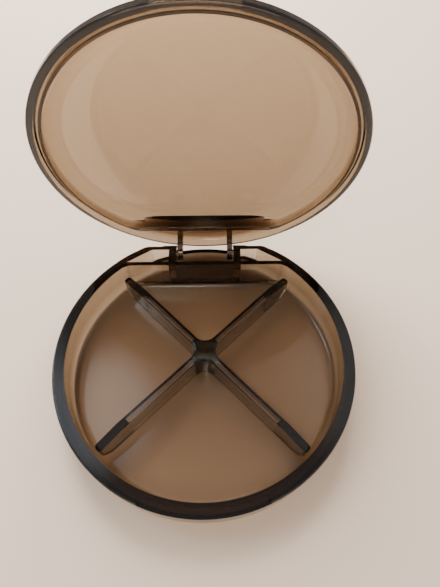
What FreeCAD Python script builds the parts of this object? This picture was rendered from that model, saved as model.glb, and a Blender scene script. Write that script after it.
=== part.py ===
import FreeCAD, Part
import math
import os
import Sketcher

# Round travel pill organizer: a clear tinted tray with a cross divider and a hinged lid.
# Millimetres. The origin is the centre of the tray's underside. +Z is up, the front is -Y and the
# hinge is at the rear, +Y. The tray stands on Z = 0 and the lid stands open.

doc = FreeCAD.newDocument("PillOrganizer")

# ---------------------------------------------------------------------------------------------
# Dimensions
# ---------------------------------------------------------------------------------------------

PARAMETERS = [
    # tray
    ("rim_radius", 32.5),
    ("cavity_radius", 29.8),
    ("ridge_radius", 30.8),
    ("rim_height", 9.4),
    ("ridge_rise", 0.35),
    ("floor_thick", 1.2),
    ("foot_round", 3.0),
    ("floor_round", 1.5),
    ("rim_round", 0.4),
    ("chord_front", 23.0),
    ("chord_rear", 24.0),
    ("corner_round", 4.0),
    ("rear_wall_in", 27.9),
    ("rear_flat", 29.1),
    ("rear_corner", 3.0),
    ("shelf_height", 3.4),
    # hinge
    ("hinge_y", 29.6),
    ("hinge_z", 5.7),
    ("knuckle_radius", 1.9),
    ("web_sink", 0.4),
    ("web_rear", 0.3),
    ("web_rise", 0.5),
    ("lug_in", 7.1),
    ("lug_out", 8.85),
    ("pin_radius", 0.8),
    ("pin_in", 5.6),
    # front notch, where the lid's tongue drops in
    ("notch_depth", 0.6),
    ("notch_angle", 45.0),
    ("groove_depth", 1.1),
    ("groove_radius", 31.7),
    ("groove_angle", 32.0),
    # divider
    ("divider_y", 1.3),
    ("divider_turn", 44.0),
    ("divider_top", 8.2),
    ("rear_reach", 27.7),
    ("front_reach", 29.9),
    ("arm_half", 0.9),
    ("arm_round", 0.72),
    ("hub_round", 2.8),
    ("slot_half", 0.35),
    ("slot_start", 3.6),
    ("slot_roof", 0.9),
    ("ramp_length", 8.0),
    ("ramp_drop", 1.6),
    ("heel_cut", 2.2),
    ("top_round", 0.5),
    ("dimple_radius", 0.9),
    ("dimple_depth", 0.15),
    # lid, measured from its free edge
    ("lid_radius", 33.2),
    ("lid_land", 1.3),
    ("lid_lean", 2.0),
    ("lid_height", 5.6),
    ("lid_round", 6.8),
    ("skirt_round", 0.3),
    ("skirt_in", 32.0),
    ("moat_height", 1.1),
    ("bowl_low", 31.6),
    ("bowl_high", 30.05),
    ("bowl_round", 5.2),
    ("ceiling", 4.2),
    ("lip_edge", 0.5),
    ("lip_root", 3.0),
    ("lip_out", 31.2),
    ("lip_in", 30.6),
    ("lip_chord_out", 26.1),
    ("lip_chord_in", 24.7),
    ("lip_corner_out", 4.5),
    ("lip_corner_in", 4.0),
    ("lip_round", 0.2),
    ("wall_reach", 15.2),
    ("root_radius", 31.5),
    ("root_height", 1.5),
    ("lid_arm_out", 6.95),
    ("lid_arm_root", 1.4),
    ("tip_radius", 1.8),
    ("arm_bore", 0.85),
    ("tongue_out", 33.0),
    ("tongue_in", 32.35),
    ("tongue_drop", 0.35),
    ("tongue_angle", 42.0),
    ("window_out", 32.3),
    ("window_low", 0.2),
    ("window_height", 1.4),
    ("window_angle", 23.0),
    # assembly
    ("seam_gap", 0.2),
    ("open_angle", 83.0),
    # construction: how far a joining feature is sunk in, and how far a cut runs past its part
    ("bite", 0.1),
    ("past", 1.0),
]

table = doc.addObject("Spreadsheet::Sheet", "params")
for row, (alias, number) in enumerate(PARAMETERS, start=1):
    table.set("A%d" % row, alias)
    table.set("B%d" % row, str(number))
    table.setAlias("B%d" % row, alias)
doc.recompute()
value = dict(PARAMETERS)


# ---------------------------------------------------------------------------------------------
# Helpers
# ---------------------------------------------------------------------------------------------

def number_of(text):
    """Evaluate a parameter formula through the spreadsheet's own engine."""
    return float(table.evalExpression(text))


def linked(text):
    """Rewrite bare parameter names as spreadsheet references."""
    out = ""
    word = ""
    for letter in text + " ":
        if letter.isalnum() or letter in "_.":
            word += letter
            continue
        out += ("params." + word) if word in value else word
        out += letter
        word = ""
    return out.strip()


def plane_of(body, role):
    """Find one of the body's own origin planes by its role."""
    for feature in body.Origin.OriginFeatures:
        if feature.Role == role:
            return feature
    raise ValueError(role)


def new_body(name):
    body = doc.addObject("PartDesign::Body", name)
    body.Label = name
    doc.recompute()
    return body


def new_sketch(body, name, role, offset=None):
    """Sketch on an origin plane, moved along the plane's normal by a parameter formula."""
    sketch = body.newObject("Sketcher::SketchObject", name)
    sketch.AttachmentSupport = [(plane_of(body, role), "")]
    sketch.MapMode = "FlatFace"
    if offset is not None:
        sketch.setExpression(".AttachmentOffset.Base.z", linked(offset))
    doc.recompute()
    return sketch


def pin_point(sketch, geometry, vertex, across, up):
    """Hold one sketch point at a position given by two parameter formulas."""
    for kind, text in (("DistanceX", across), ("DistanceY", up)):
        index = sketch.addConstraint(
            Sketcher.Constraint(kind, -1, 1, geometry, vertex, number_of(linked(text))))
        sketch.setExpression("Constraints[%d]" % index, linked(text))


def add_polygon(sketch, corners):
    """Closed polygon whose corners are all held by parameter formulas."""
    spots = []
    for across, up in corners:
        spots.append(FreeCAD.Vector(number_of(linked(across)), number_of(linked(up)), 0))
    first = sketch.GeometryCount
    count = len(spots)
    for i in range(count):
        sketch.addGeometry(Part.LineSegment(spots[i], spots[(i + 1) % count]), False)
    for i in range(count):
        following = first + (i + 1) % count
        sketch.addConstraint(Sketcher.Constraint("Coincident", first + i, 2, following, 1))
    for i, (across, up) in enumerate(corners):
        pin_point(sketch, first + i, 1, across, up)


def add_circle(sketch, across, up, radius):
    """Circle held by parameter formulas."""
    middle = FreeCAD.Vector(number_of(linked(across)), number_of(linked(up)), 0)
    size = number_of(linked(radius))
    ring = sketch.addGeometry(Part.Circle(middle, FreeCAD.Vector(0, 0, 1), size), False)
    pin_point(sketch, ring, 3, across, up)
    index = sketch.addConstraint(Sketcher.Constraint("Radius", ring, size))
    sketch.setExpression("Constraints[%d]" % index, linked(radius))


def add_d_outline(sketch, radius, chord, corner):
    """Circle about the origin, cut straight across at the chord, with two rounded corners."""
    size = number_of(linked(radius))
    level = number_of(linked(chord))
    bend = number_of(linked(corner))
    corner_x = math.sqrt((size - bend) ** 2 - (level - bend) ** 2)
    slope = math.atan2(level - bend, corner_x)

    def arc(x, y, reach, start, end):
        circle = Part.Circle(FreeCAD.Vector(x, y, 0), FreeCAD.Vector(0, 0, 1), reach)
        return sketch.addGeometry(Part.ArcOfCircle(circle, start, end), False)

    main = arc(0, 0, size, math.pi - slope, 2 * math.pi + slope)
    right = arc(corner_x, level - bend, bend, slope, math.pi / 2)
    line = sketch.addGeometry(Part.LineSegment(
        FreeCAD.Vector(corner_x, level, 0), FreeCAD.Vector(-corner_x, level, 0)), False)
    left = arc(-corner_x, level - bend, bend, math.pi / 2, math.pi - slope)
    sketch.addConstraint(Sketcher.Constraint("Coincident", main, 3, -1, 1))
    for piece, following in ((main, right), (right, line), (line, left), (left, main)):
        sketch.addConstraint(Sketcher.Constraint("Tangent", piece, 2, following, 1))
    sketch.addConstraint(Sketcher.Constraint("Horizontal", line))
    sketch.addConstraint(Sketcher.Constraint("Equal", right, left))
    for constraint, text in (
            (Sketcher.Constraint("Radius", main, size), radius),
            (Sketcher.Constraint("Radius", right, bend), corner),
            (Sketcher.Constraint("DistanceY", -1, 1, line, 1, level), chord)):
        index = sketch.addConstraint(constraint)
        sketch.setExpression("Constraints[%d]" % index, linked(text))


def finish_feature(body, feature, sketch, grows):
    """Recompute, and turn the feature round if it did not change the volume the right way."""
    before = feature.BaseFeature.Shape.Volume if feature.BaseFeature else 0.0
    doc.recompute()
    change = feature.Shape.Volume - before
    wrong = change <= 1e-6 if grows else change >= -1e-6
    if wrong:
        feature.Reversed = not feature.Reversed
        doc.recompute()
    change = feature.Shape.Volume - before
    if (change <= 1e-6) if grows else (change >= -1e-6):
        raise RuntimeError("%s did not change the solid" % feature.Name)
    sketch.Visibility = False
    body.Tip = feature
    return feature


def pad(body, name, sketch, length, midplane=False, reverse=False):
    feature = body.newObject("PartDesign::Pad", name)
    feature.Profile = sketch
    feature.setExpression("Length", linked(length))
    feature.Midplane = midplane
    feature.Reversed = reverse
    return finish_feature(body, feature, sketch, True)


def pocket(body, name, sketch, length, midplane=False, reverse=True):
    feature = body.newObject("PartDesign::Pocket", name)
    feature.Profile = sketch
    feature.setExpression("Length", linked(length))
    feature.Midplane = midplane
    feature.Reversed = reverse
    return finish_feature(body, feature, sketch, False)


def revolve(body, name, sketch, angle, cuts=False):
    """Turn a profile about the sketch's upright axis, evenly to both sides of its plane."""
    feature = body.newObject("PartDesign::Groove" if cuts else "PartDesign::Revolution", name)
    feature.Profile = sketch
    feature.ReferenceAxis = (sketch, ["V_Axis"])
    feature.Midplane = True
    feature.setExpression("Angle", linked(angle))
    return finish_feature(body, feature, sketch, not cuts)


def edges_where(shape, test):
    """Names of the edges whose middle point and end points satisfy a test."""
    names = []
    for i, edge in enumerate(shape.Edges, start=1):
        middle = edge.valueAt((edge.FirstParameter + edge.LastParameter) / 2.0)
        ends = [vertex.Point for vertex in edge.Vertexes]
        if test(middle, ends):
            names.append("Edge%d" % i)
    return names


def fillet(body, name, test, radius):
    base = body.Tip
    names = edges_where(base.Shape, test)
    if not names:
        raise RuntimeError("%s found no edge" % name)
    feature = body.newObject("PartDesign::Fillet", name)
    feature.Base = (base, names)
    feature.setExpression("Radius", linked(radius))
    doc.recompute()
    if feature.Shape.isNull() or not feature.Shape.isValid():
        raise RuntimeError("%s failed" % name)
    body.Tip = feature
    return feature


def near(a, b, slack=0.02):
    return abs(a - b) < slack


def flat_at(level):
    """Edges that lie at one height."""
    return lambda middle, ends: near(middle.z, level) and all(near(p.z, level) for p in ends)


def ring_at(radius, level):
    """Edges on one circle about the Z axis."""
    lies_flat = flat_at(level)
    return lambda middle, ends: lies_flat(middle, ends) and near(math.hypot(middle.x, middle.y), radius)


def upright_at(y, reach):
    """Upright edges at one Y and at least a given distance from the middle plane."""
    def test(middle, ends):
        upright = len(ends) == 2 and near(ends[0].x, ends[1].x) and near(ends[0].y, ends[1].y)
        return upright and near(middle.y, y) and abs(middle.x) > reach
    return test


# ---------------------------------------------------------------------------------------------
# Tray: round shell, D-shaped cavity, hinge well, rear shelf with two lugs, front notch
# ---------------------------------------------------------------------------------------------

base_tray = new_body("base_tray")

shell = new_sketch(base_tray, "TrayProfile", "XZ_Plane")
add_polygon(shell, [
    ("0", "0"),
    ("rim_radius", "0"),
    ("rim_radius", "rim_height"),
    ("ridge_radius", "rim_height"),
    ("ridge_radius", "rim_height + ridge_rise"),
    ("0", "rim_height + ridge_rise"),
])
revolve(base_tray, "TrayShell", shell, "360")
fillet(base_tray, "FootRound", ring_at(value["rim_radius"], 0), "foot_round")

# Straight rear edge above the shelf; the foot below it stays round.
flat = new_sketch(base_tray, "RearFlatOutline", "XY_Plane", "shelf_height")
add_polygon(flat, [
    ("-rim_radius - past", "rear_flat"),
    ("rim_radius + past", "rear_flat"),
    ("rim_radius + past", "rim_radius + past"),
    ("-rim_radius - past", "rim_radius + past"),
])
pocket(base_tray, "RearFlat", flat, "rim_height")
ridge_corner = math.sqrt(value["ridge_radius"] ** 2 - value["rear_flat"] ** 2)
fillet(base_tray, "RearEdgeCorners", upright_at(value["rear_flat"], ridge_corner + 1), "rear_corner")


def outer_rim(middle, ends):
    """Edges of the rim's top, all but the ridge's foot."""
    beyond_ridge = math.hypot(middle.x, middle.y) > value["ridge_radius"] + value["bite"]
    on_rear_flat = near(middle.y, value["rear_flat"])
    return flat_at(value["rim_height"])(middle, ends) and (beyond_ridge or on_rear_flat)


fillet(base_tray, "RimRound", outer_rim, "rim_round")

cavity = new_sketch(base_tray, "CavityOutline", "XY_Plane", "floor_thick")
add_d_outline(cavity, "cavity_radius", "chord_front", "corner_round")
pocket(base_tray, "Cavity", cavity, "rim_height + ridge_rise")
fillet(base_tray, "FloorRound", flat_at(value["floor_thick"]), "floor_round")

# The raised ridge follows the cavity, so it stops behind the chord wall.
rear_top = new_sketch(base_tray, "RearTopOutline", "XY_Plane", "rim_height")
add_polygon(rear_top, [
    ("-rim_radius - past", "chord_rear"),
    ("rim_radius + past", "chord_rear"),
    ("rim_radius + past", "rim_radius + past"),
    ("-rim_radius - past", "rim_radius + past"),
])
pocket(base_tray, "RearTop", rear_top, "ridge_rise + past")

# Side pockets of the hinge well, between the chord wall and the rear wall.
wells = new_sketch(base_tray, "SideWellOutline", "XY_Plane", "floor_thick")
for side in ("-", ""):
    add_polygon(wells, [
        (side + "lug_out", "chord_rear"),
        (side + "sqrt(ridge_radius^2 - chord_rear^2)", "chord_rear"),
        (side + "sqrt(ridge_radius^2 - rear_wall_in^2)", "rear_wall_in"),
        (side + "lug_out", "rear_wall_in"),
    ])
pocket(base_tray, "SideWells", wells, "rim_height + past")

# Rounded knuckles for the pins, first as one bar, then parted by the gap for the lid's arms.
knuckle = new_sketch(base_tray, "KnuckleOutline", "YZ_Plane")
add_circle(knuckle, "hinge_y", "hinge_z", "knuckle_radius")
pad(base_tray, "Knuckle", knuckle, "2 * lug_out", midplane=True)
web = new_sketch(base_tray, "KnuckleWebOutline", "YZ_Plane")
add_polygon(web, [
    ("rear_wall_in + 2 * bite", "shelf_height - web_sink"),
    ("hinge_y + web_rear", "shelf_height - web_sink"),
    ("hinge_y + web_rear", "hinge_z"),
    ("hinge_y - web_rise", "hinge_z + knuckle_radius + web_rise"),
    ("rear_wall_in + 2 * bite", "hinge_z + knuckle_radius + web_rise"),
])
pad(base_tray, "KnuckleWeb", web, "2 * lug_out", midplane=True)

gap = new_sketch(base_tray, "HingeGapOutline", "XY_Plane", "shelf_height")
add_polygon(gap, [
    ("-lug_in", "chord_rear"),
    ("lug_in", "chord_rear"),
    ("lug_in", "rim_radius + past"),
    ("-lug_in", "rim_radius + past"),
])
pocket(base_tray, "HingeGap", gap, "rim_height + past")

bores = new_sketch(base_tray, "LugBoreOutline", "YZ_Plane")
add_circle(bores, "hinge_y", "hinge_z", "pin_radius")
pocket(base_tray, "LugBores", bores, "2 * lug_out + past", midplane=True)

# Front notch in the rim, with a deeper groove beside the ridge.
notch = new_sketch(base_tray, "NotchProfile", "YZ_Plane")
add_polygon(notch, [
    ("-rim_radius - past", "rim_height - notch_depth"),
    ("-ridge_radius", "rim_height - notch_depth"),
    ("-ridge_radius", "rim_height + past"),
    ("-rim_radius - past", "rim_height + past"),
])
revolve(base_tray, "Notch", notch, "notch_angle", cuts=True)
groove = new_sketch(base_tray, "GrooveProfile", "YZ_Plane")
add_polygon(groove, [
    ("-groove_radius", "rim_height - groove_depth"),
    ("-ridge_radius", "rim_height - groove_depth"),
    ("-ridge_radius", "rim_height"),
    ("-groove_radius", "rim_height"),
])
revolve(base_tray, "Groove", groove, "groove_angle", cuts=True)

# ---------------------------------------------------------------------------------------------
# Divider: loose cross that stands on the tray floor and makes four compartments
# ---------------------------------------------------------------------------------------------

divider_cross = new_body("divider_cross")

cross = new_sketch(divider_cross, "CrossOutline", "XY_Plane", "floor_thick")
add_polygon(cross, [
    ("rear_reach", "-arm_half"),
    ("rear_reach", "arm_half"),
    ("arm_half", "arm_half"),
    ("arm_half", "rear_reach"),
    ("-arm_half", "rear_reach"),
    ("-arm_half", "arm_half"),
    ("-front_reach", "arm_half"),
    ("-front_reach", "-arm_half"),
    ("-arm_half", "-arm_half"),
    ("-arm_half", "-front_reach"),
    ("arm_half", "-front_reach"),
    ("arm_half", "-arm_half"),
])
pad(divider_cross, "CrossWalls", cross, "divider_top - floor_thick")


def hub_corner(middle, ends):
    upright = len(ends) == 2 and abs(ends[0].z - ends[1].z) > 1
    return upright and near(abs(middle.x), value["arm_half"]) and near(abs(middle.y), value["arm_half"])


def arm_corner(middle, ends):
    upright = len(ends) == 2 and abs(ends[0].z - ends[1].z) > 1
    return upright and max(abs(middle.x), abs(middle.y)) > value["rear_reach"] - value["bite"]


fillet(divider_cross, "HubRound", hub_corner, "hub_round")
fillet(divider_cross, "ArmEnds", arm_corner, "arm_round")

# The last stretch of every arm ramps down, and its heel clears the tray's rounded floor edge.
ARMS = (("", "rear_reach"), ("-", "front_reach"))
for role in ("XZ_Plane", "YZ_Plane"):
    trim = new_sketch(divider_cross, "Trim" + role[:2], role)
    for side, reach in ARMS:
        add_polygon(trim, [
            (side + "(%s - ramp_length)" % reach, "divider_top"),
            (side + "(%s + past)" % reach, "divider_top - ramp_drop * (1 + past / ramp_length)"),
            (side + "(%s + past)" % reach, "divider_top + past"),
            (side + "(%s - ramp_length)" % reach, "divider_top + past"),
        ])
        add_polygon(trim, [
            (side + "(%s - heel_cut)" % reach, "floor_thick"),
            (side + "(%s + past)" % reach, "floor_thick + heel_cut + past"),
            (side + "(%s + past)" % reach, "floor_thick - past"),
            (side + "(%s - heel_cut)" % reach, "floor_thick - past"),
        ])
    pocket(divider_cross, "ArmTrim" + role[:2], trim, "4 * arm_half", midplane=True)

fillet(divider_cross, "TopRound", flat_at(value["divider_top"]), "top_round")

# The arms are hollow from below between the hub and the ramps.
slots = new_sketch(divider_cross, "SlotOutline", "XY_Plane", "floor_thick")
for side, reach in ARMS:
    near_end = side + "slot_start"
    far_end = side + "(%s - ramp_length)" % reach
    corners = [
        (near_end, "-slot_half"),
        (far_end, "-slot_half"),
        (far_end, "slot_half"),
        (near_end, "slot_half"),
    ]
    add_polygon(slots, corners)
    add_polygon(slots, [(up, across) for across, up in corners])
pocket(divider_cross, "Slots", slots, "divider_top - floor_thick - slot_roof", reverse=False)

dimple = new_sketch(divider_cross, "DimpleOutline", "XY_Plane", "divider_top - dimple_depth")
add_circle(dimple, "0", "0", "dimple_radius")
pocket(divider_cross, "Dimple", dimple, "past")

divider_cross.Placement = FreeCAD.Placement(
    FreeCAD.Vector(0, value["divider_y"], 0),
    FreeCAD.Rotation(FreeCAD.Vector(0, 0, 1), value["divider_turn"]))
divider_cross.setExpression("Placement.Base.y", linked("divider_y"))
divider_cross.setExpression("Placement.Rotation.Angle", linked("divider_turn"))

# ---------------------------------------------------------------------------------------------
# Lid: drawn closed about its own free edge, then turned open about the hinge axis
# ---------------------------------------------------------------------------------------------

lid = new_body("lid")

cap = new_sketch(lid, "LidProfile", "XZ_Plane")
add_polygon(cap, [
    ("0", "0"),
    ("lid_radius", "0"),
    ("lid_radius", "lid_land"),
    ("lid_radius - lid_lean", "lid_height"),
    ("0", "lid_height"),
])
revolve(lid, "LidShell", cap, "360")
fillet(lid, "SkirtRound", ring_at(value["lid_radius"], 0), "skirt_round")

# Bowl-shaped inside, with a step that forms a moat between the skirt and the lip.
hollow = new_sketch(lid, "HollowProfile", "XZ_Plane")
add_polygon(hollow, [
    ("0", "-past"),
    ("skirt_in", "-past"),
    ("skirt_in", "moat_height"),
    ("bowl_low", "moat_height"),
    ("bowl_high", "ceiling"),
    ("0", "ceiling"),
])
revolve(lid, "Hollow", hollow, "360", cuts=True)
fillet(lid, "BowlRound", ring_at(value["bowl_high"], value["ceiling"]), "bowl_round")

# Tongue that fills the tray's front notch, and the thinned window behind it.
tongue = new_sketch(lid, "TongueProfile", "YZ_Plane")
add_polygon(tongue, [
    ("-tongue_out", "-tongue_drop"),
    ("-tongue_in", "-tongue_drop"),
    ("-tongue_in", "lip_edge"),
    ("-tongue_out", "lip_edge"),
])
revolve(lid, "Tongue", tongue, "tongue_angle")
window = new_sketch(lid, "WindowProfile", "YZ_Plane")
add_polygon(window, [
    ("-window_out", "window_low"),
    ("-lip_out", "window_low"),
    ("-lip_out", "window_height"),
    ("-window_out", "window_height"),
])
revolve(lid, "Window", window, "window_angle", cuts=True)

# D-shaped lip that surrounds the tray's ridge, with a straight wall towards the hinge.
lip = new_sketch(lid, "LipOutline", "XY_Plane", "lip_edge")
add_d_outline(lip, "lip_out", "lip_chord_out", "lip_corner_out")
add_d_outline(lip, "lip_in", "lip_chord_in", "lip_corner_in")
pad(lid, "Lip", lip, "lip_root - lip_edge")
wall = new_sketch(lid, "WallProfile", "YZ_Plane")
add_polygon(wall, [
    ("lip_chord_in", "lip_root - bite"),
    ("lip_chord_out", "lip_root - bite"),
    ("lip_chord_out", "ceiling + bite"),
    ("lip_chord_in", "ceiling + bite"),
])
pad(lid, "Wall", wall, "2 * wall_reach", midplane=True)

# Solid root behind the straight wall, which follows the round of the shell.
root = new_sketch(lid, "RootOutline", "XY_Plane", "root_height")
half_root = "sqrt(root_radius^2 - (lip_chord_out - bite)^2)"
root_corners = []
for step in (3, 2, 1, 0, -1, -2, -3):
    across = "%d / 3 * %s" % (step, half_root)
    root_corners.append((across, "sqrt(root_radius^2 - (%s)^2)" % across))
add_polygon(root, root_corners)
pad(lid, "Root", root, "ceiling + bite - root_height")

fillet(lid, "LidRound", ring_at(value["lid_radius"] - value["lid_lean"], value["lid_height"]), "lid_round")
fillet(lid, "LipRound", flat_at(value["lip_edge"]), "lip_round")

# Two hinge arms that hang from the lid between the tray's lugs.
for side, reverse in (("", True), ("-", False)):
    label = "Right" if reverse else "Left"
    blade = new_sketch(lid, "Blade" + label, "YZ_Plane", side + "lid_arm_out")
    add_polygon(blade, [
        ("lip_chord_out - bite", "ceiling + bite"),
        ("lip_chord_out - bite", "ceiling - lid_arm_root"),
        ("hinge_y - tip_radius", "hinge_z - rim_height - seam_gap"),
        ("hinge_y + tip_radius", "hinge_z - rim_height - seam_gap"),
        ("hinge_y + tip_radius", "lid_arm_root"),
        ("hinge_y - past", "ceiling + bite"),
    ])
    pad(lid, "Arm" + label, blade, "lid_arm_out - pin_in", reverse=reverse)
    tip = new_sketch(lid, "Tip" + label, "YZ_Plane", side + "lid_arm_out")
    add_circle(tip, "hinge_y", "hinge_z - rim_height - seam_gap", "tip_radius")
    pad(lid, "ArmTip" + label, tip, "lid_arm_out - pin_in", reverse=reverse)

arm_bores = new_sketch(lid, "ArmBoreOutline", "YZ_Plane")
add_circle(arm_bores, "hinge_y", "hinge_z - rim_height - seam_gap", "arm_bore")
pocket(lid, "ArmBores", arm_bores, "2 * lid_arm_out + past", midplane=True)

closed_height = value["rim_height"] + value["seam_gap"]
lid.Placement = FreeCAD.Placement(
    FreeCAD.Vector(0, 0, closed_height),
    FreeCAD.Rotation(FreeCAD.Vector(1, 0, 0), -value["open_angle"]),
    FreeCAD.Vector(0, value["hinge_y"], value["hinge_z"] - closed_height))

# ---------------------------------------------------------------------------------------------
# Hinge pins: short pins held in the lugs, on which the lid's arms turn
# ---------------------------------------------------------------------------------------------

pins = []
for name, start in (("hinge_pin_left", "-lug_out"), ("hinge_pin_right", "pin_in")):
    pin = doc.addObject("Part::Cylinder", name)
    pin.Label = name
    pin.setExpression("Radius", linked("pin_radius"))
    pin.setExpression("Height", linked("lug_out - pin_in"))
    pin.Placement = FreeCAD.Placement(
        FreeCAD.Vector(number_of(linked(start)), value["hinge_y"], value["hinge_z"]),
        FreeCAD.Rotation(FreeCAD.Vector(0, 1, 0), 90))
    pin.setExpression("Placement.Base.x", linked(start))
    pin.setExpression("Placement.Base.y", linked("hinge_y"))
    pin.setExpression("Placement.Base.z", linked("hinge_z"))
    pins.append(pin)

doc.recompute()

# ---------------------------------------------------------------------------------------------
# Checks and export
# ---------------------------------------------------------------------------------------------

for item in doc.Objects:
    for state in item.State:
        if state in ("Invalid", "Error"):
            raise RuntimeError("%s is %s" % (item.Name, state))

os.makedirs("parts", exist_ok=True)
for node in [base_tray, divider_cross, lid] + pins:
    shape = node.Shape
    if shape.isNull() or not shape.isValid():
        raise RuntimeError("%s has a bad shape" % node.Label)
    if len(shape.Solids) != 1:
        raise RuntimeError("%s is not one solid" % node.Label)
    shape.exportStep("parts/%s.step" % node.Label)
    box = shape.BoundBox
    print("%-16s volume %9.2f  x %7.2f %7.2f  y %7.2f %7.2f  z %7.2f %7.2f" % (
        node.Label, shape.Volume, box.XMin, box.XMax, box.YMin, box.YMax, box.ZMin, box.ZMax))
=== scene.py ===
import math

import bpy
from mathutils import Matrix, Vector

# Round travel pill organizer in smoke-tinted clear plastic: a tray with a loose cross divider and a
# hinged lid that stands open. Every CAD node is shown as packed; this script gives it its material,
# the floor, the light and the camera.

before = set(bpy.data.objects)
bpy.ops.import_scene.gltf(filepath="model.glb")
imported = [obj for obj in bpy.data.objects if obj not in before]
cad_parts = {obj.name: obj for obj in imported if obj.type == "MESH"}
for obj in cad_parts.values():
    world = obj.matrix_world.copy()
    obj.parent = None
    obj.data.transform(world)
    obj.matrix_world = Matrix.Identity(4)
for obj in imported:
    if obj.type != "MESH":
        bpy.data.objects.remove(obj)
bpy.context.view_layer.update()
MM = 0.001

# ---------------------------------------------------------------------------------------------
# Camera
# ---------------------------------------------------------------------------------------------

RIM_HEIGHT = 9.4 * MM
VIEW_AZIMUTH = math.radians(-1.37)
VIEW_ELEVATION = math.radians(58.5)
VIEW_ROLL = math.radians(0.58)
VIEW_DISTANCE = 106.7 * MM
VIEW_TARGET = Vector((3.6 * MM, 15.0 * MM, RIM_HEIGHT))
LENS_MM = 28.0
SENSOR_MM = 36.0


def make_camera():
    camera = bpy.data.objects.new("Camera", bpy.data.cameras.new("Camera"))
    bpy.context.collection.objects.link(camera)
    back = Vector((
        math.sin(VIEW_AZIMUTH) * math.cos(VIEW_ELEVATION),
        -math.cos(VIEW_AZIMUTH) * math.cos(VIEW_ELEVATION),
        math.sin(VIEW_ELEVATION)))
    right = Vector((0, 0, 1)).cross(back).normalized()
    up = back.cross(right)
    turned_right = math.cos(VIEW_ROLL) * right + math.sin(VIEW_ROLL) * up
    turned_up = math.cos(VIEW_ROLL) * up - math.sin(VIEW_ROLL) * right
    axes = Matrix((turned_right, turned_up, back)).transposed().to_4x4()
    camera.matrix_world = Matrix.Translation(VIEW_TARGET + back * VIEW_DISTANCE) @ axes
    camera.data.sensor_width = SENSOR_MM
    camera.data.lens = LENS_MM
    camera.data.clip_start = 1 * MM
    camera.data.clip_end = 10.0
    bpy.context.scene.camera = camera


# ---------------------------------------------------------------------------------------------
# Light and floor: a warm room with soft patches, a large light behind the lid and a pale floor
# ---------------------------------------------------------------------------------------------

ROOM_COLOUR = (1.0, 0.91, 0.84)
ROOM_STRENGTH = 0.62

# Name, direction, half-width in degrees, strength and colour. The ceiling's strength is below zero,
# which makes it dimmer than the rest of the room.
PATCHES = (
    ("Window", (-0.58, 0.33, 0.75), 19, 4.5, (0.92, 0.96, 1.0)),
    ("Lamp", (-0.12, -0.40, 0.91), 12, 6.0, (1.0, 0.86, 0.66)),
    ("Bulb", (-0.02, 0.415, 0.91), 3, 3.5, (1.0, 0.86, 0.70)),
    ("Ceiling", (0.0, 0.40, 0.91), 28, -0.34, (1.0, 0.95, 0.85)),
    ("Sky", (-0.24, 0.29, 0.93), 9, 1.4, (0.78, 0.88, 1.0)),
    ("Sheen", (0.30, 0.34, 0.89), 12, 0.5, (1.0, 0.98, 0.90)),
)


BACK_LIGHT_PLACE = Vector((-0.05, 0.27, 0.26))
BACK_LIGHT_AIM = Vector((0.0, 0.05, 0.0))
BACK_LIGHT_WIDTH = 0.24
BACK_LIGHT_WATTS = 2.7
BACK_LIGHT_COLOUR = (1.0, 0.91, 0.83)

FLOOR_WIDTH = 3.0
FLOOR_GAP = 0.1 * MM
FLOOR_COLOUR = (0.88, 0.75, 0.63)
FLOOR_ROUGHNESS = 0.9


def node_of(tree, kind, inputs=None, **settings):
    """New shader node with the given settings and the given values in its input sockets."""
    node = tree.nodes.new(kind)
    for name, setting in settings.items():
        setattr(node, name, setting)
    for socket, level in (inputs or {}).items():
        node.inputs[socket].default_value = level
    return node


def make_world():
    """Every patch fades out smoothly towards its edge, so that its reflections have no hard border."""
    world = bpy.data.worlds.new("World")
    world.use_nodes = True
    tree = world.node_tree
    background = tree.nodes["Background"]
    where = node_of(tree, "ShaderNodeTexCoord")
    room_light = Vector(ROOM_COLOUR) * ROOM_STRENGTH
    total = node_of(tree, "ShaderNodeCombineXYZ", dict(enumerate(room_light)))
    light = total.outputs[0]
    for name, direction, half_width, strength, colour in PATCHES:
        middle = Vector(direction).normalized()
        aim = node_of(tree, "ShaderNodeVectorMath", {1: middle}, operation="DOT_PRODUCT")
        tree.links.new(where.outputs["Generated"], aim.inputs[0])
        edge = {"From Min": math.cos(math.radians(half_width)), "From Max": 1.0}
        fade = node_of(tree, "ShaderNodeMapRange", edge, interpolation_type="SMOOTHERSTEP")
        tree.links.new(aim.outputs["Value"], fade.inputs["Value"])
        glow = Vector(colour) * strength
        patch = node_of(tree, "ShaderNodeVectorMath", {1: glow}, operation="MULTIPLY_ADD", label=name)
        tree.links.new(fade.outputs["Result"], patch.inputs[0])
        tree.links.new(light, patch.inputs[2])
        light = patch.outputs[0]
    tree.links.new(light, background.inputs["Color"])
    bpy.context.scene.world = world


def make_back_light():
    """Large soft light behind the lid, so that the floor is brighter there than in front."""
    lamp = bpy.data.lights.new("BackLight", "AREA")
    lamp.shape = "DISK"
    lamp.size = BACK_LIGHT_WIDTH
    lamp.energy = BACK_LIGHT_WATTS
    lamp.color = BACK_LIGHT_COLOUR
    back_light = bpy.data.objects.new("BackLight", lamp)
    bpy.context.collection.objects.link(back_light)
    aim = BACK_LIGHT_PLACE - BACK_LIGHT_AIM
    back_light.location = BACK_LIGHT_PLACE
    back_light.rotation_euler = aim.to_track_quat("Z", "Y").to_euler()
    back_light.visible_glossy = False
    back_light.visible_transmission = False


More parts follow.
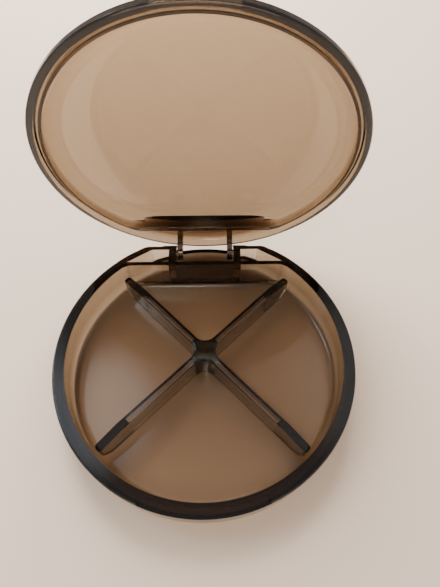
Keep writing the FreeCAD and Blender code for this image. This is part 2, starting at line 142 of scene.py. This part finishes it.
def make_floor():
    bpy.ops.mesh.primitive_plane_add(size=FLOOR_WIDTH, location=(0, 0, -FLOOR_GAP))
    floor = bpy.context.object
    floor.name = "Floor"
    material = bpy.data.materials.new("FloorCloth")
    material.use_nodes = True
    shader = material.node_tree.nodes["Principled BSDF"]
    shader.inputs["Base Color"].default_value = (*FLOOR_COLOUR, 1)
    shader.inputs["Roughness"].default_value = FLOOR_ROUGHNESS
    floor.data.materials.append(material)


# ---------------------------------------------------------------------------------------------
# Materials
# ---------------------------------------------------------------------------------------------

SMOKE_TINT = (0.38, 0.24, 0.04)
SMOKE_DENSITY = 600.0
SHADOW_TINT = (0.95, 0.92, 0.88)
PLASTIC_IOR = 1.57

# Cloudy polish, in features per metre, and the part of the noise that it follows
CLOUD_SCALE = 90.0
CLOUD_DETAIL = 3.0
CLOUD_LOW = 0.35
CLOUD_HIGH = 0.70

# Fine scratches: noise drawn out along one slanted direction, of which only the peaks show
SCRATCH_TURN = (0.3, 0.2, 0.9)
SCRATCH_STRETCH = (300.0, 5000.0, 700.0)
SCRATCH_DETAIL = 2.0
SCRATCH_LOW = 0.66
SCRATCH_HIGH = 0.78
SCRATCH_ROUGHNESS = 0.10

RIPPLE_STRENGTH = 0.10
RIPPLE_HEIGHT = 0.02 * MM

# Node, material, density against SMOKE_DENSITY, roughness and how far the polish varies
FINISHES = (
    ("base_tray", "TrayPlastic", 1.0, 0.03, 0.05),
    ("lid", "LidPlastic", 2.0, 0.03, 0.05),
    ("divider_cross", "DividerPlastic", 1.0, 0.06, 0.06),
    ("hinge_pin_left", "PinPlastic", 2.0, 0.10, 0.05),
    ("hinge_pin_right", "PinPlastic", 2.0, 0.10, 0.05),
)


def add_surface_detail(tree, shader, roughness, spread):
    """Polished moulded plastic: soft cloudy polish, short fine scratches and faint moulding ripples."""
    place = node_of(tree, "ShaderNodeTexCoord")
    cloud = node_of(tree, "ShaderNodeTexNoise", {"Scale": CLOUD_SCALE, "Detail": CLOUD_DETAIL})
    tree.links.new(place.outputs["Object"], cloud.inputs["Vector"])
    polish = node_of(tree, "ShaderNodeMapRange", {
        "From Min": CLOUD_LOW,
        "From Max": CLOUD_HIGH,
        "To Min": roughness,
        "To Max": roughness + spread,
    })
    tree.links.new(cloud.outputs["Fac"], polish.inputs["Value"])

    stretch = node_of(tree, "ShaderNodeMapping", {"Rotation": SCRATCH_TURN, "Scale": SCRATCH_STRETCH})
    tree.links.new(place.outputs["Object"], stretch.inputs["Vector"])
    scratch = node_of(tree, "ShaderNodeTexNoise", {"Scale": 1.0, "Detail": SCRATCH_DETAIL})
    tree.links.new(stretch.outputs["Vector"], scratch.inputs["Vector"])
    worn = node_of(tree, "ShaderNodeMapRange", {
        "From Min": SCRATCH_LOW,
        "From Max": SCRATCH_HIGH,
        "To Min": 0.0,
        "To Max": SCRATCH_ROUGHNESS,
    })
    tree.links.new(scratch.outputs["Fac"], worn.inputs["Value"])

    both = node_of(tree, "ShaderNodeMath", operation="ADD")
    tree.links.new(polish.outputs["Result"], both.inputs[0])
    tree.links.new(worn.outputs["Result"], both.inputs[1])
    tree.links.new(both.outputs[0], shader.inputs["Roughness"])
    ripple = node_of(tree, "ShaderNodeBump", {"Strength": RIPPLE_STRENGTH, "Distance": RIPPLE_HEIGHT})
    tree.links.new(cloud.outputs["Fac"], ripple.inputs["Height"])
    tree.links.new(ripple.outputs["Normal"], shader.inputs["Normal"])


def smoke_plastic(name, density, roughness, spread):
    """Clear tinted plastic. It darkens with thickness, and its shadow is tinted, not black."""
    material = bpy.data.materials.new(name)
    material.use_nodes = True
    tree = material.node_tree
    shader = tree.nodes["Principled BSDF"]
    output = tree.nodes["Material Output"]
    shader.inputs["Base Color"].default_value = (1, 1, 1, 1)
    shader.inputs["Transmission Weight"].default_value = 1.0
    shader.inputs["IOR"].default_value = PLASTIC_IOR
    add_surface_detail(tree, shader, roughness, spread)
    smoke = node_of(tree, "ShaderNodeVolumeAbsorption", {"Color": (*SMOKE_TINT, 1), "Density": density})
    tree.links.new(smoke.outputs["Volume"], output.inputs["Volume"])
    clear = node_of(tree, "ShaderNodeBsdfTransparent", {"Color": (*SHADOW_TINT, 1)})
    path = node_of(tree, "ShaderNodeLightPath")
    mix = node_of(tree, "ShaderNodeMixShader")
    tree.links.new(path.outputs["Is Shadow Ray"], mix.inputs[0])
    tree.links.new(shader.outputs["BSDF"], mix.inputs[1])
    tree.links.new(clear.outputs["BSDF"], mix.inputs[2])
    tree.links.new(mix.outputs["Shader"], output.inputs["Surface"])
    return material


def finish_nodes():
    """Give every CAD node its plastic; nodes with the same finish share one material."""
    plastics = {}
    for name, plastic, darkness, roughness, spread in FINISHES:
        if plastic not in plastics:
            density = SMOKE_DENSITY * darkness
            plastics[plastic] = smoke_plastic(plastic, density, roughness, spread)
        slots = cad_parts[name].data.materials
        slots.clear()
        slots.append(plastics[plastic])


make_camera()
make_world()
make_back_light()
make_floor()
finish_nodes()
